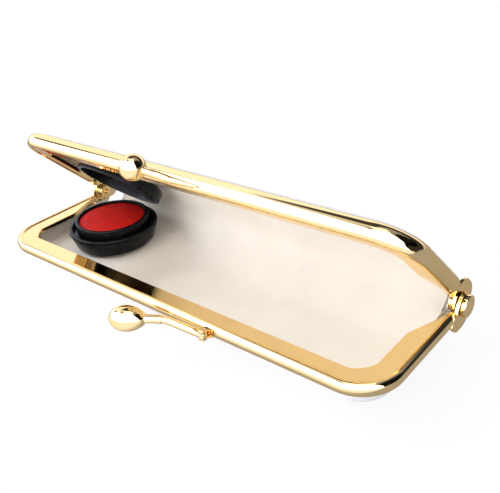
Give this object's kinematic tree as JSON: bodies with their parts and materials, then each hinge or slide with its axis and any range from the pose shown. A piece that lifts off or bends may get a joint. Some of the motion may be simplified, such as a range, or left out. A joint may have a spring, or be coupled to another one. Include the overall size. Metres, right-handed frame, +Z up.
{
  "type": "seal case with ink pad",
  "caption": "Long gilt-framed kiss-lock case for a name seal, standing half open, with a cream lining and a lidded red ink pad at one end.",
  "frame": {"origin": "middle of the flat base that the case rests on", "axes": "+X along the case towards the clasp's hinge end, +Y to the hinge at the back, +Z up; the mouth faces -Y"},
  "size_m": [0.1078, 0.0442, 0.0385],
  "materials": {
    "gilt": "polished light gold plating",
    "cover_cloth": "pale smooth cloth",
    "board": "grey board",
    "lining_cloth": "cream smooth cloth",
    "paper_cord": "twisted paper",
    "black_plastic": "moulded, soft gloss",
    "tin": "tinned",
    "red_ink": "cloth soaked with vermilion ink",
    "foam": "matt foam"
  },
  "bodies": {
    "lower": {"lower_frame": "gilt", "lower_cover": "cover_cloth", "lower_board": "board", "lower_lining": "lining_cloth", "lower_crimp_cord": "paper_cord", "right_rivet": "gilt", "left_rivet": "gilt", "right_washer": "gilt", "left_washer": "gilt", "clasp_bracket": "gilt", "clasp_pin": "gilt", "pad_seat": "lining_cloth", "spine_cover": "cover_cloth", "spine_lining": "lining_cloth", "pad_base": "black_plastic", "ink_cup": "tin", "ink_pad": "red_ink", "pad_tape": "foam"},
    "upper": {"upper_frame": "gilt", "upper_cover": "cover_cloth", "upper_board": "board", "upper_lining": "lining_cloth", "upper_crimp_cord": "paper_cord", "ball_horn": "gilt", "ball_knob": "gilt", "pad_lid": "black_plastic", "lid_liner": "black_plastic", "lid_foam": "foam"},
    "clasp": {"clasp_lever": "gilt", "egg_knob": "gilt"}
  },
  "joints": [
    {"name": "case_hinge", "type": "hinge", "parent": "lower", "child": "upper", "pos_m": [0, 0.01293, 0.0113], "axis": [-1, 0, 0], "range_deg": [-45, 45], "deforming": ["spine_cover", "spine_lining"]},
    {"name": "clasp_hinge", "type": "hinge", "parent": "lower", "child": "clasp", "pos_m": [0.0162, -0.01918, 0.00995], "axis": [0, 0, 1], "range_deg": [0, 10], "stiffness_Nm_per_rad": 0.05}
  ]
}
